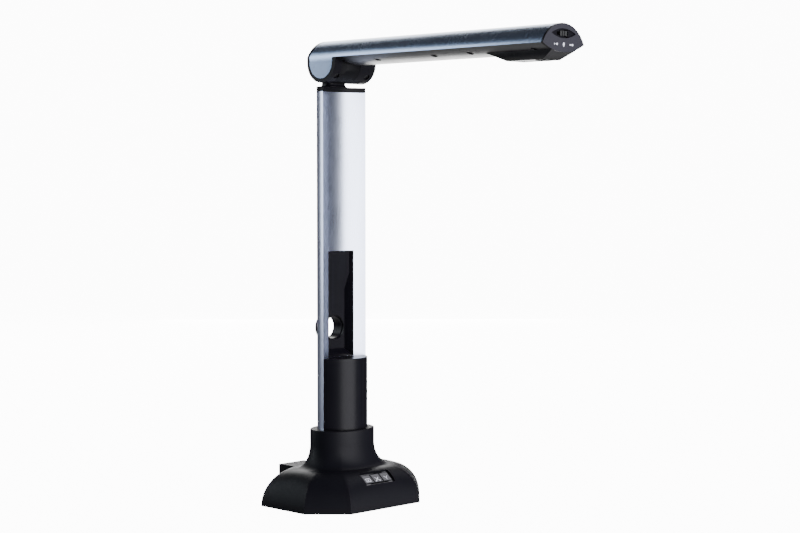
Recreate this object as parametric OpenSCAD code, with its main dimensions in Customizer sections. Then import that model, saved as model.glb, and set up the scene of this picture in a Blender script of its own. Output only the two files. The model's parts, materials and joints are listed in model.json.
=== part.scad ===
// Folding document camera: an octagonal weighted base, an aluminium column with a
// parking recess, and a camera arm that folds down against the column's hollow front.
// Origin: on the table under the base's centre. +Z is up and the arm points to -Y.

/* [Base] */
// Width of the octagonal base
base_w = 120.4; // [114:0.2:128]
// Depth of the octagonal base
base_d = 97.2; // [94:0.2:104]
// Length that each corner loses along both sides
base_cut = 24.3; // [20:0.1:27]
// Height of the collar's top face
collar_top = 57.2; // [55:0.2:62]
// Width of the collar
collar_w = 54; // [52:0.5:58]
// Depth of the collar
collar_d = 42.4; // [42:0.2:46]
// Wall of the moulded shells
wall = 2.4; // [2:0.1:2.6]

/* [Column] */
// Half the column's width, out to its front lips
column_half = 22; // [21.8:0.1:22.4]
// Height of the column's top
column_top = 312.6; // [310:0.2:313]
// Depth of the hollow along the column's front
column_hollow = 6.2; // [6:0.1:6.6]
// Wall of the extrusion
column_wall = 2; // [1.6:0.1:2.2]
// Height of the front sleeve's top
sleeve_top = 111.2; // [106:0.2:112]
// Height of the parking recess's top
recess_top = 192.2; // [188:0.2:200]
// Height of the view hole's axis
view_z = 133.2; // [132:0.1:134]

/* [Hinge] */
// Height of the hinge axis
hinge_z = 334.5; // [334:0.1:336]
// Outside radius of the hinge barrel
barrel_r = 15.5; // [15:0.1:15.8]
// Radius of the hinge shaft
shaft_r = 3; // [2.5:0.1:3.5]

/* [Arm] */
// Half the arm's width, out to its creases
arm_half = 21.5; // [21.3:0.1:21.6]
// Height of the arm's arch above its creases
arm_rise = 14; // [13.6:0.1:14.2]
// Wall of the arm's metal shell
arm_wall = 1.3; // [1:0.1:1.5]
// Distance from the hinge axis to the lens axis
lens_reach = 201.5; // [200:0.5:202]
// Half the light switch's travel
switch_travel = 3; // [2:0.5:3]

/* [Keys] */
// Travel of each key
key_travel = 0.6; // [0.3:0.1:0.6]
// Width of each key
key_w = 8.4; // [7.5:0.1:8.6]

/* [Hidden] */

$fn = 96;
// Overshoot of a cut past the face it goes through
over = 1;
// Gap between pieces of one body that are assembled together
fit_gap = 0.1;
// Radial running clearance of the hinge
run_gap = 0.05;

black = "#1d1d20";
black_gloss = "#101014";
silver = "#c9ccd4";
blue_metal = "#7d8a9c";
steel = "#a9abb0";
board_green = "#1f5a3a";
brass = "#b89a55";

// Radius of the arc over a chord of the given half-width and height
function arc_radius(half, rise) = (half * half + rise * rise) / (2 * rise);

// --- base -----------------------------------------------------------------

collar_y = -0.5;
// Shoulder: a quarter ellipse from the foot up, then a fillet up into the collar
shoulder_in = 20.4;
shoulder_z = 28.4;
fillet_top = 46;
// Share by which the rear half draws further in up the shoulder
rear_lean = 0.2;
// How much lower the shoulder would be over the foot's rear edge
rear_drop = 4.2;
foot_z = 0.8;
plate_z = 1;
plate_t = 2;
ballast_z = plate_z + plate_t;
ballast_t = 5;
ballast_top = ballast_z + ballast_t;
ballast_rear = 24;
post_x = 45;
post_y = 14;
post_r = 3.2;
post_top = 22.4;
foot_x = 42;
foot_y = 26;
foot_r = 6.5;
screw_r = 1.2;
port_half = 13.4;
port_y0 = 38;
// The block's top runs further in than its sides, under the sloping shoulder
hood_y0 = 31;
hood_z = 14;
port_y1 = 58.4;
port_top = 23.8;
port_wall = 1.8;
board_z = 6.4;
board_t = 1.6;
socket_w = 12;
socket_h = 11;
socket_y0 = 42;
socket_y1 = 58;
socket_z = board_z + board_t;
plug_w = 8.5;
plug_h = 7.8;
plug_deep = 10;

// Distance from the centre to a cut corner's face
function corner_reach() = (base_w + base_d) / 2 - base_cut;

// The octagon's corners, moved in by d from the foot's outline
function octagon(d) =
    let (w = base_w / 2 - d, h = base_d / 2 - d, s = corner_reach() - d * sqrt(2))
    [[w, s - w], [s - h, h], [h - s, h], [-w, s - w], [-w, w - s], [h - s, -h], [s - h, -h], [w, w - s]];

// A point on an ellipse in the same direction as p, seen from the ellipse's centre
function ellipse_toward(p, rx, ry) =
    let (a = atan2(p[1] / ry, p[0] / rx)) [rx * cos(a), ry * sin(a)];

// One ring of the shoulder: the octagon moved in by d, rounded off by the share r
function shoulder_ring(d, r, steps) =
    let (c = octagon(d), rx = base_w / 2 - d, ry = base_d / 2 - d)
    [for (k = [0:7], j = [0:steps - 1])
        let (p = c[k] + (c[(k + 1) % 8] - c[k]) * j / steps)
        p + (ellipse_toward(p, rx, ry) - p) * r];

// A point of the shoulder's rear half, drawn in for its angle a up the shoulder
function lean_in(p, a) = [p[0], p[1] * (1 - (p[1] > 0 ? rear_lean * (1 - cos(a)) : 0))];

// How far the shoulder's top is lowered at a point
function drop_at(p) = rear_drop * pow(max(p[1], 0) / (base_d / 2), 2);

// The base's outer skin, or its inside when t is the wall: rings from the foot to the collar
function base_rings(t, steps, rows) =
    let (rx = collar_w / 2 - t, ry = collar_d / 2 - t, zs = shoulder_z - t)
    let (top = [for (p = shoulder_ring(t + shoulder_in, 0.55, steps)) lean_in(p, 90)])
    let (collar = [for (p = top) ellipse_toward(p, rx, ry) + [0, collar_y]])
    concat(
        [for (i = [0:rows])
            let (a = 90 * i / rows)
            let (ring = shoulder_ring(t + shoulder_in * (1 - cos(a)), 0.55 * pow(sin(a), 4), steps))
            [for (p = ring)
                let (q = lean_in(p, a))
                [q[0], q[1], foot_z + (zs - drop_at(q) - foot_z) * sin(a)]]],
        [for (i = [1:rows])
            let (a = 90 * i / rows)
            [for (k = [0:len(top) - 1])
                let (p = collar[k] + (top[k] - collar[k]) * (1 - sin(a)))
                [p[0], p[1], fillet_top - (fillet_top - zs + drop_at(top[k])) * cos(a)]]],
        [[for (p = collar) [p[0], p[1], collar_top + over]]]
    );

module skin(rings) {
    n = len(rings[0]);
    m = len(rings);
    centres = [[0, 0, rings[0][0][2]], [0, 0, rings[m - 1][0][2]]];
    points = concat([for (ring = rings, p = ring) p], centres);
    sides = [for (i = [0:m - 2], k = [0:n - 1])
        [i * n + k, (i + 1) * n + k, (i + 1) * n + (k + 1) % n, i * n + (k + 1) % n]];
    foot = [for (k = [0:n - 1]) [m * n, k, (k + 1) % n]];
    head = [for (k = [0:n - 1]) [m * n + 1, (m - 1) * n + (k + 1) % n, (m - 1) * n + k]];
    polyhedron(points, concat(foot, sides, head), convexity = 6);
}

module octagon_plate(inset, z, t) {
    translate([0, 0, z]) linear_extrude(t) polygon(octagon(inset));
}

module at_posts() {
    for (x = [-post_x, post_x], y = [-post_y, post_y]) translate([x, y, 0]) children();
}

module at_feet() {
    for (x = [-foot_x, foot_x], y = [-foot_y, foot_y]) translate([x, y, 0]) children();
}

// --- column ---------------------------------------------------------------

lips_y = -3.6;
column_depth = 20.7;
back_r = arc_radius(column_half, column_depth);
back_y = lips_y + column_depth - back_r;
front_r = arc_radius(column_half, column_hollow);
front_y = lips_y + column_hollow - front_r;
sleeve_rise = 14;
sleeve_r = arc_radius(column_half, sleeve_rise);
sleeve_y = lips_y - sleeve_rise + sleeve_r;
sleeve_foot = 40;
boss_r = 2.8;
bosses = [[16.6, 3.2], [-16.6, 3.2], [0, 12.6]];
slot_half = 13.1;
recess_y = 7.3;
recess_side = 12.6;
recess_floor_half = 9.6;
recess_shallow_y = 3.6;
recess_back = 8.9;
hole_r = 9.3;
ring_r = 10.6;
ring_bore = 8.6;
ring_y0 = 9.6;
ring_y1 = 18.9;

module column_outline(t = 0) {
    difference() {
        translate([0, back_y]) circle(r = back_r - t);
        translate([0, front_y]) circle(r = front_r + t);
    }
}

module sleeve_outline(t = 0) {
    intersection() {
        translate([0, sleeve_y]) circle(r = sleeve_r - t);
        translate([0, front_y]) circle(r = front_r - t);
    }
}

// Outline of the column and its sleeve together, grown by g
module stand_outline(g) {
    wide = 2 * collar_w;
    intersection() {
        translate([0, back_y]) circle(r = back_r + g);
        translate([-wide / 2, lips_y]) square([wide, wide]);
    }
    intersection() {
        translate([0, sleeve_y]) circle(r = sleeve_r + g);
        translate([-wide / 2, lips_y - wide]) square([wide, wide]);
    }
}

module along_y(r, y0, y1) {
    translate([0, y0, 0]) rotate([-90, 0, 0]) cylinder(r = r, h = y1 - y0);
}

module along_x(r, x0, x1) {
    translate([x0, 0, 0]) rotate([0, 90, 0]) cylinder(r = r, h = x1 - x0);
}

// Flat part from a profile of [y, z] points, x0 to x1 wide
module profile_x(points, x0, x1) {
    translate([x0, 0, 0]) rotate([90, 0, 90]) linear_extrude(x1 - x0) polygon(points);
}

// Flat part from a profile of [x, z] points, y0 to y1 long
module profile_y(points, y0, y1) {
    translate([0, y1, 0]) rotate([90, 0, 0]) linear_extrude(y1 - y0) polygon(points);
}

// --- hinge and arm, placed from the hinge axis ------------------------------

hinge_y = -0.6;
cap_t = 3.8;
cap_top = column_top + cap_t;
screw_head = 1;
// Height of the arm's creases above the hinge axis
crease = 3.1;
arm_r = arc_radius(arm_half, arm_rise);
arch_z = crease + arm_rise - arm_r;
arch_in = arm_r - arm_wall;
tongue_r = 12.4;
// The knuckle between the yoke's two ears
knuckle_x0 = -13;
knuckle_x1 = 5.2;
ear_gap = 0.3;
ear_x0 = knuckle_x0 - ear_gap;
ear_x1 = knuckle_x1 + ear_gap;
ear_out = arm_half - 0.3;
tongue_in = arm_half - arm_wall;
shell_rear = 13;
washer_r = 8;
washer_t = 0.8;
head_r = 4.4;
head_t = 1.4;
shaft_x0 = -18.9;
nut_r = 5.4;
nut_x = 14.6;
nut_t = 4;
barrel_screw_x = 15.5;
barrel_screw_tilt = 44;
barrel_screw_sink = 1.8;
shell_front = -217.1;
end_face = -218.9;
cover_sag = 5.8;
cover_r = arc_radius(arm_half, cover_sag);
cover_z = crease - cover_sag + cover_r;
cover_t = 1.8;
cover_start = -16;
cover_notch = -19.8;
arm_screw_x = 13.5;
arm_screw_y = [-53.4, -110.9, -145.9, -204.7];
rib_t = 0.9;
rib_gap = 2.5;
rib_h = 5.5;

// Pod under the arm's end, [y, z] from the hinge axis
pod_bottom = -7.1;
pod_root = -1.2;
pod_tail = -160;
pod_full = -175.4;
pod_nose = -208.4;
pod_root_half = 12.4;
pod_bottom_half = 8.7;
pod_wall = 1.6;
lens_y = -lens_reach;
lens_r = 5.9;
lens_bore = 4.6;
barrel_len = 8;
sensor_z = 6.2;
sensor_half = 3.4;
sensor_t = 0.8;
light_y = -185.5;
light_w = 12;
light_d = 7;
// Underside of the light board, and how far the lamps hang below it
led_z = pod_bottom + pod_wall + 2.2;
led_t = 0.8;
lens_tube_r = lens_bore - 0.6;
camera_screw_x = 8.6;
camera_screw_y = 12;
camera_post_r = 1.9;
camera_board_t = 1.2;

module at_hinge() {
    translate([0, hinge_y, hinge_z]) children();
}

// Inside of the metal arch, open downwards, y0 to y1
module arch_space(y0, y1, r, side, floor_z) {
    intersection() {
        union() {
            translate([0, y0, arch_z]) rotate([-90, 0, 0]) cylinder(r = r, h = y1 - y0);
            if (floor_z < crease) translate([-side, y0, floor_z])
                cube([2 * side, y1 - y0, crease - floor_z]);
        }
        translate([-side, y0, floor_z]) cube([2 * side, y1 - y0, crease + arm_rise - floor_z]);
    }
}

// Body under the arm's convex underside: between the creases and the cover's arc
module cover_lens(t, y0, y1) {
    intersection() {
        translate([0, y0, cover_z]) rotate([-90, 0, 0]) cylinder(r = cover_r - t, h = y1 - y0);
        translate([-arm_half, y0, crease - 2 * cover_sag]) cube([2 * arm_half, y1 - y0, 2 * cover_sag]);
    }
}

module pod_body(t) {
    tail = pod_tail - t;
    intersection() {
        profile_x([
            [tail, pod_root], [pod_full - t / 2, pod_bottom + t], [pod_nose + t / 2, pod_bottom + t],
            [end_face + t, pod_root], [end_face + t, crease], [tail, crease]
        ], -pod_root_half, pod_root_half);
        profile_y([
            [-pod_root_half + t, crease], [-pod_root_half + t, pod_root],
            [-pod_bottom_half + t, pod_bottom], [pod_bottom_half - t, pod_bottom],
            [pod_root_half - t, pod_root], [pod_root_half - t, crease]
        ], end_face - over, pod_tail + over);
    }
}

module at_arm_screws() {
    for (y = arm_screw_y, x = [-arm_screw_x, arm_screw_x]) translate([x, y, 0]) children();
}

// Height of the cover's outside under the arm screws
screw_face = cover_z - sqrt(cover_r * cover_r - arm_screw_x * arm_screw_x);
screw_sink = 0.7;
arm_screw_head = 0.8;

// --- key panel: its own frame, z out of the panel, y up the slope ------------

panel_y = -38.15;
panel_z = 22.25;
panel_tilt = 38.7;
panel_w = 29.2;
panel_d = 11.7;
key_pitch = 9.3;
key_d = 7.9;
key_gap = 0.3;
bezel_t = 2;
skirt_z = -4;
key_proud = 0.4;
flange_z = -2.1;
flange_t = 0.8;
flange_w = 0.35;
key_board_t = 1.2;
key_board_w = 33;
key_board_d = 14;

module at_panel() {
    translate([0, panel_y, panel_z]) rotate([panel_tilt, 0, 0]) children();
}

// --- base pieces -------------------------------------------------------------

module base_shell() {
    color(black)
    difference() {
        union() {
            difference() {
                skin(base_rings(0, 8, 9));
                skin_inside();
            }
            at_posts() translate([0, 0, ballast_z + fit_gap])
                cylinder(r = post_r, h = post_top - ballast_z);
        }
        translate([-base_w, -base_d, collar_top]) cube([2 * base_w, 2 * base_d, 4 * over]);
        translate([0, 0, fillet_top - 2 * wall]) linear_extrude(collar_top) stand_outline(fit_gap);
        at_posts() cylinder(r = screw_r + run_gap, h = post_top - wall);
        at_panel() translate([-panel_w / 2 - fit_gap, -panel_d / 2 - fit_gap, skirt_z - wall])
            cube([panel_w + 2 * fit_gap, panel_d + 2 * fit_gap, 6 * wall]);
        translate([-port_half - fit_gap, hood_y0 - over, 0])
            cube([2 * (port_half + fit_gap), base_d, port_top + fit_gap]);
    }
}

// The shell's hollow stops under the collar's top face
module skin_inside() {
    intersection() {
        skin(base_rings(wall, 4, 6));
        translate([-base_w, -base_d, -over]) cube([2 * base_w, 2 * base_d, collar_top - wall + over]);
    }
    octagon_plate(wall, -over, foot_z + 2 * over);
}

module base_plate() {
    color(black)
    difference() {
        octagon_plate(wall + 5 * fit_gap, plate_z, plate_t);
        at_feet() translate([0, 0, plate_z - over]) cylinder(r = foot_r, h = over + fit_gap * 6);
        at_posts() cylinder(r = screw_r + run_gap, h = ballast_top);
        at_posts() translate([0, 0, plate_z - over]) cylinder(r = 2 * screw_r + fit_gap, h = over + 1);
        translate([-port_half - fit_gap, port_y0 - fit_gap, 0])
            cube([2 * (port_half + fit_gap), base_d, ballast_top]);
    }
}

module ballast_plate() {
    inset = 9.5;
    color(steel)
    difference() {
        intersection() {
            octagon_plate(inset, ballast_z, ballast_t);
            translate([-base_w, -base_d, 0]) cube([2 * base_w, base_d + ballast_rear, 2 * ballast_top]);
        }
        at_posts() cylinder(r = post_r + fit_gap, h = 2 * ballast_top);
        for (b = bosses) translate([b[0], b[1], 0]) {
            cylinder(r = screw_r + fit_gap, h = 2 * ballast_top);
            cylinder(r = 2 * screw_r + fit_gap, h = ballast_z + 2 * screw_r);
        }
    }
}

module base_feet() {
    color("#26262a") at_feet() cylinder(r = foot_r, h = plate_z + fit_gap * 6);
}

// Pan-head screw from z, driven upwards
module screw_up(z, length) {
    translate([0, 0, z]) {
        cylinder(r = 2 * screw_r, h = screw_head);
        cylinder(r = screw_r, h = length);
    }
}

module base_screws() {
    color(steel) at_posts() screw_up(plate_z, post_top - wall - plate_z - 2);
}

module column_screws() {
    length = 16;
    color(steel)
    for (b = bosses) translate([b[0], b[1], 0]) {
        translate([0, 0, ballast_z + fit_gap]) cylinder(r = 2 * screw_r, h = 2 * screw_r - fit_gap);
        translate([0, 0, ballast_z + fit_gap]) cylinder(r = screw_r, h = length);
    }
}

standoff_x = 19;
standoff_y = 30;

module main_board() {
    front_half = 24;
    tongue_half = 10.8;
    chip = 9;
    chip_t = 1.2;
    y0 = ballast_rear + 1;
    shoulder_y = port_y0 - 2;
    tongue_y = port_y1 - port_wall - 0.6;
    color(board_green) {
        difference() {
            union() {
                translate([-front_half, y0, board_z])
                    cube([2 * front_half, shoulder_y - y0, board_t]);
                translate([-tongue_half, y0, board_z])
                    cube([2 * tongue_half, tongue_y - y0, board_t]);
            }
            for (x = [-standoff_x, standoff_x])
                translate([x, standoff_y, 0]) cylinder(r = screw_r + fit_gap, h = 2 * socket_z);
        }
        translate([-chip / 2, standoff_y - chip / 2, socket_z]) cube([chip, chip, chip_t]);
    }
}

// Standoffs under the board, with their screws
module board_screws() {
    color(brass)
    for (x = [-standoff_x, standoff_x]) translate([x, standoff_y, 0]) {
        translate([0, 0, ballast_z]) cylinder(r = 2 * screw_r, h = board_z - ballast_z);
        translate([0, 0, board_z]) cylinder(r = screw_r, h = board_t);
        translate([0, 0, socket_z]) cylinder(r = 2 * screw_r, h = screw_head);
    }
}

module rear_port_cover() {
    depth = port_y1 - port_y0;
    color(black)
    difference() {
        union() {
            translate([-port_half, port_y0, foot_z]) cube([2 * port_half, depth, port_top - foot_z]);
            translate([-port_half, hood_y0, hood_z])
                cube([2 * port_half, port_y1 - hood_y0, port_top - hood_z]);
        }
        translate([-port_half + port_wall, hood_y0 - over, foot_z + port_wall])
            cube([
                2 * (port_half - port_wall),
                port_y1 - hood_y0 - port_wall + over,
                port_top - foot_z - 2 * port_wall
            ]);
        translate([-socket_w / 2 - fit_gap, port_y1 - 2 * port_wall, socket_z - fit_gap])
            cube([socket_w + 2 * fit_gap, 4 * port_wall, socket_h + 2 * fit_gap]);
    }
}

module usb_shell() {
    bevel = 2;
    z0 = socket_z + (socket_h - plug_h) / 2;
    color(steel)
    difference() {
        translate([-socket_w / 2, socket_y0, socket_z]) cube([socket_w, socket_y1 - socket_y0, socket_h]);
        profile_y([
            [-plug_w / 2, z0], [plug_w / 2, z0], [plug_w / 2, z0 + plug_h - bevel],
            [plug_w / 2 - bevel, z0 + plug_h], [bevel - plug_w / 2, z0 + plug_h],
            [-plug_w / 2, z0 + plug_h - bevel]
        ], socket_y1 - plug_deep, socket_y1 + over);
    }
}

module usb_core() {
    core_w = 5.6;
    core_h = 3.2;
    core_len = 5.4;
    color("#e8e8ea")
    translate([-core_w / 2, socket_y1 - plug_deep, socket_z + (socket_h - core_h) / 2])
        cube([core_w, core_len, core_h]);
}

module key_bezel() {
    side = 0.6;
    color(black_gloss)
    at_panel() difference() {
        translate([-panel_w / 2, -panel_d / 2, skirt_z]) cube([panel_w, panel_d, -skirt_z]);
        for (i = [-1:1]) translate([i * key_pitch, 0, 0]) {
            translate([-key_w / 2 - key_gap, -key_d / 2 - key_gap, -bezel_t - over])
                cube([key_w + 2 * key_gap, key_d + 2 * key_gap, bezel_t + 2 * over]);
        }
        translate([-panel_w / 2 + side, -key_d / 2 - 2 * flange_w, skirt_z - over])
            cube([panel_w - 2 * side, key_d + 4 * flange_w, -bezel_t - skirt_z + over]);
    }
}

module key_board() {
    color(board_green)
    at_panel() translate([-key_board_w / 2, -key_board_d / 2, skirt_z - key_board_t])
        cube([key_board_w, key_board_d, key_board_t]);
}

module tact_switches() {
    body = 4.4;
    lid_t = 0.3;
    plunger_r = 1;
    contact_gap = 0.05;
    plunger_h = flange_z - flange_t - key_travel - skirt_z - contact_gap;
    color(steel)
    at_panel() for (i = [-1:1]) translate([i * key_pitch, 0, skirt_z]) {
        translate([-body / 2, -body / 2, 0]) cube([body, body, lid_t]);
        cylinder(r = plunger_r, h = plunger_h);
    }
}

// A key cap with the flange that holds it under the bezel
module key(i) {
    color(black_gloss)
    at_panel() translate([i * key_pitch, 0, 0]) {
        translate([-key_w / 2, -key_d / 2, flange_z - flange_t])
            cube([key_w, key_d, key_proud - flange_z + flange_t]);
        translate([-key_w / 2 - flange_w, -key_d / 2 - flange_w, flange_z - flange_t])
            cube([key_w + 2 * flange_w, key_d + 2 * flange_w, flange_t]);
    }
}

module key_left() {
    key(-1);
}

module key_middle() {
    key(0);
}

module key_right() {
    key(1);
}

// --- column pieces -----------------------------------------------------------

module column_extrusion() {
    height = column_top - ballast_top;
    color(silver)
    difference() {
        translate([0, 0, ballast_top]) linear_extrude(height) difference() {
            column_outline();
            difference() {
                column_outline(column_wall);
                for (b = bosses) translate(b) circle(r = boss_r);
            }
            for (b = bosses) translate(b) circle(r = screw_r + run_gap);
        }
        translate([-slot_half, -2 * sleeve_rise, sleeve_top])
            cube([2 * slot_half, 2 * sleeve_rise + recess_back, recess_top - sleeve_top]);
        translate([0, 0, view_z]) along_y(ring_r + fit_gap, recess_y, 2 * back_r);
    }
}

// Lining of the parking recess, with the tube of the view hole behind it
module column_insert() {
    ramp = 12.5;
    shelf = 17.2;
    ramp_top = recess_top - shelf;
    lip = 0.8;
    foot = sleeve_top + lip;
    sill_y = 1;
    heel = 5;
    mouth_y = 0.6;
    tube_wall = 1.6;
    side = slot_half - fit_gap;
    color(black)
    difference() {
        intersection() {
            union() {
                translate([-side, -sleeve_rise, sleeve_top + fit_gap])
                    cube([2 * side, sleeve_rise + recess_back, recess_top - sleeve_top - 2 * fit_gap]);
                translate([0, 0, view_z]) along_y(ring_r + tube_wall, recess_y, back_r);
            }
            translate([0, 0, sleeve_top]) linear_extrude(recess_top) column_outline();
            union() {
                translate([-side, -sleeve_rise, sleeve_top])
                    cube([2 * side, sleeve_rise + recess_back, recess_top]);
                translate([0, 0, sleeve_top])
                    linear_extrude(recess_top) column_outline(column_wall + fit_gap);
            }
        }
        intersection() {
            profile_x([
                [-sleeve_rise, recess_top - lip], [recess_shallow_y, recess_top - lip],
                [recess_shallow_y, ramp_top], [recess_y, ramp_top - ramp],
                [recess_y, foot + heel], [sill_y, foot], [-sleeve_rise, foot]
            ], -slot_half, slot_half);
            translate([0, 0, sleeve_top]) linear_extrude(recess_top) polygon([
                [-recess_side, -sleeve_rise], [recess_side, -sleeve_rise], [recess_side, mouth_y],
                [recess_floor_half, recess_y + fit_gap], [-recess_floor_half, recess_y + fit_gap],
                [-recess_side, mouth_y]
            ]);
        }
        translate([0, 0, view_z]) along_y(hole_r, recess_y - over, 2 * back_r);
        translate([0, 0, view_z]) along_y(ring_r + run_gap, ring_y0, 2 * back_r);
        for (b = bosses) translate([b[0], b[1], 0]) cylinder(r = boss_r + fit_gap, h = 2 * recess_top);
    }
}

// Bezel of the view hole on the column's back
module view_port_ring() {
    round_r = 0.8;
    color(black)
    translate([0, 0, view_z]) rotate([-90, 0, 0]) rotate_extrude() {
        translate([ring_bore, ring_y0]) square([ring_r - ring_bore, ring_y1 - ring_y0 - round_r]);
        translate([ring_bore, ring_y0]) square([ring_r - ring_bore - round_r, ring_y1 - ring_y0]);
        translate([ring_r - round_r, ring_y1 - round_r]) circle(r = round_r);
    }
}

module front_sleeve() {
    skin_t = 2;
    color(black)
    difference() {
        translate([0, 0, sleeve_foot]) linear_extrude(sleeve_top - sleeve_foot) sleeve_outline();
        translate([0, 0, sleeve_foot - over]) linear_extrude(sleeve_top - sleeve_foot + over - skin_t)
            sleeve_outline(skin_t);
    }
}

// Flat cable inside the column, from the board's level up to the cap
module column_cable() {
    cable_w = 2.1;
    cable_t = 1.1;
    end_gap = 1;
    color("#3a3a40")
    translate([-15.3, 6.6, ballast_top + end_gap])
        cube([cable_w, cable_t, column_top - ballast_top - 2 * end_gap]);
}

// --- hinge pieces ------------------------------------------------------------

// Cap of the column, neck and middle knuckle in one casting
module hinge_bracket() {
    neck_y0 = -1.2;
    neck_y1 = 10;
    neck_r = 4;
    neck_sink = 10.5;
    neck_top = hinge_z - neck_sink;
    color(black)
    difference() {
        union() {
            translate([0, 0, column_top]) linear_extrude(cap_t) column_outline();
            translate([knuckle_x0, neck_y0, cap_top - 2 * fit_gap])
                neck_block(neck_y1 - neck_y0, neck_r, neck_top - cap_top);
            at_hinge() knuckle();
        }
        at_hinge() along_x(shaft_r + run_gap, knuckle_x0 - over, knuckle_x1 + over);
        for (b = bosses) translate([b[0], b[1], column_top - over])
            cylinder(r = screw_r + fit_gap, h = 2 * cap_t);
        for (b = bosses) translate([b[0], b[1], cap_top - screw_head])
            cylinder(r = 2 * screw_r + fit_gap, h = 2 * screw_head);
    }
}

module neck_block(depth, r, height) {
    width = knuckle_x1 - knuckle_x0;
    linear_extrude(height) {
        translate([r, 0]) square([width - 2 * r, depth]);
        translate([0, r]) square([width, depth - 2 * r]);
        for (x = [r, width - r], y = [r, depth - r]) translate([x, y]) circle(r = r);
    }
}

// The knuckle is a full barrel behind and below. In front and on top it stays
// inside the arch, which sweeps over it as the arm folds.
module knuckle() {
    clear = 0.4;
    reach = 2 * barrel_r;
    intersection() {
        along_x(barrel_r, knuckle_x0, knuckle_x1);
        translate([0, -reach, arch_z]) rotate([-90, 0, 0]) cylinder(r = arch_in - clear, h = 2 * reach);
        translate([0, -arch_z, -reach]) cylinder(r = arch_in - clear, h = 2 * reach);
        union() {
            translate([-reach, -reach, -reach]) cube([2 * reach, 2 * reach, reach]);
            intersection() {
                along_x(shell_rear - clear, knuckle_x0, knuckle_x1);
                translate([-reach, 0, -over]) cube([2 * reach, reach, reach]);
            }
            intersection() {
                rotate([0, 90, 0]) rotate_extrude() intersection() {
                    translate([arch_z, 0]) circle(r = arch_in - clear);
                    translate([0, knuckle_x0 - over]) square([reach, knuckle_x1 - knuckle_x0 + 2 * over]);
                }
                translate([-reach, -reach, -over]) cube([2 * reach, reach, shell_rear - clear + over]);
            }
        }
    }
}

module cap_screws() {
    length = 12;
    color(steel)
    for (b = bosses) translate([b[0], b[1], 0]) {
        translate([0, 0, cap_top - screw_head]) cylinder(r = 2 * screw_r, h = screw_head);
        translate([0, 0, cap_top - length]) cylinder(r = screw_r, h = length - screw_head);
    }
}

module hinge_shaft() {
    tip = 0.6;
    color(steel)
    at_hinge() {
        along_x(head_r, shaft_x0, shaft_x0 + head_t);
        along_x(shaft_r, shaft_x0, nut_x + nut_t + tip);
    }
}

module friction_washers() {
    color(brass)
    at_hinge() difference() {
        union() {
            along_x(washer_r, ear_x0 - washer_t + ear_gap - run_gap, ear_x0 + ear_gap - run_gap);
            along_x(washer_r, ear_x1 - ear_gap + run_gap, ear_x1 - ear_gap + run_gap + washer_t);
        }
        along_x(shaft_r + run_gap, -arm_half, arm_half);
    }
}

module hinge_nut() {
    color(steel)
    at_hinge() difference() {
        translate([nut_x, 0, 0]) rotate([0, 90, 0]) cylinder(r = nut_r, h = nut_t, $fn = 6);
        along_x(shaft_r, nut_x - over, nut_x + nut_t + over);
    }
}

// Black moulding at the arm's root: two ears on the shaft and the rear closing wall
module arm_yoke() {
    wall_y1 = barrel_r;
    step = 0.3;
    press_gap = 0.02;
    pocket = tongue_r + 2 * fit_gap;
    color(black)
    at_hinge() difference() {
        union() {
            intersection() {
                union() {
                    along_x(barrel_r, -ear_out, ear_x0);
                    along_x(barrel_r, ear_x1, ear_out);
                    translate([-ear_out, -barrel_r, 0])
                        cube([ear_x0 + ear_out, barrel_r + shell_rear, arm_r]);
                    translate([ear_x1, -barrel_r, 0])
                        cube([ear_out - ear_x1, barrel_r + shell_rear, arm_r]);
                }
                union() {
                    arch_space(
                        -barrel_r - over, shell_rear, arch_in - fit_gap, tongue_in - fit_gap, -barrel_r
                    );
                    translate([-arm_half, -barrel_r, -barrel_r])
                        cube([2 * arm_half, 2 * barrel_r, barrel_r + crease - 2 * fit_gap]);
                }
            }
            rear_wall(shell_rear + fit_gap, wall_y1, step);
        }
        for (s = [-1, 1]) {
            x0 = s < 0 ? -arm_half - over : tongue_in - fit_gap;
            along_x(pocket, x0, x0 + arm_wall + over + fit_gap);
            translate([x0, -pocket, 0]) cube([arm_wall + over + fit_gap, 2 * pocket, arm_rise]);
        }
        along_x(shaft_r + press_gap, -arm_half, arm_half);
        along_x(head_r + fit_gap, -arm_half, shaft_x0 + head_t);
        along_x(nut_r + fit_gap, nut_x - fit_gap, arm_half);
        along_x(washer_r + fit_gap, ear_x0 - washer_t + ear_gap - 2 * run_gap, 0);
        along_x(washer_r + fit_gap, 0, ear_x1 - ear_gap + washer_t + 2 * run_gap);
        at_barrel_screws() cylinder(r = screw_r + run_gap, h = 2 * barrel_r, center = true);
        at_barrel_screws() cylinder(r = 2 * screw_r + fit_gap, h = 2 * barrel_r);
    }
}

// Closing wall behind the arch, over the ears only from the axis up
module rear_wall(y0, y1, z0) {
    intersection() {
        arch_space(y0, y1, arm_r, ear_out, z0);
        translate([-ear_out, y0, z0]) cube([2 * ear_out, y1 - y0, 2 * arm_r]);
    }
}

// Screw seats on the barrel's lower front, z pointing out
module at_barrel_screws() {
    for (x = [-barrel_screw_x, barrel_screw_x])
        translate([x, 0, 0]) rotate([90 + barrel_screw_tilt, 0, 0])
            translate([0, 0, barrel_r - barrel_screw_sink]) children();
}

module yoke_screws() {
    length = 5;
    color(steel)
    at_hinge() at_barrel_screws() {
        cylinder(r = 2 * screw_r, h = screw_head);
        translate([0, 0, -length]) cylinder(r = screw_r, h = length);
    }
}

// --- arm pieces --------------------------------------------------------------

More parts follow.
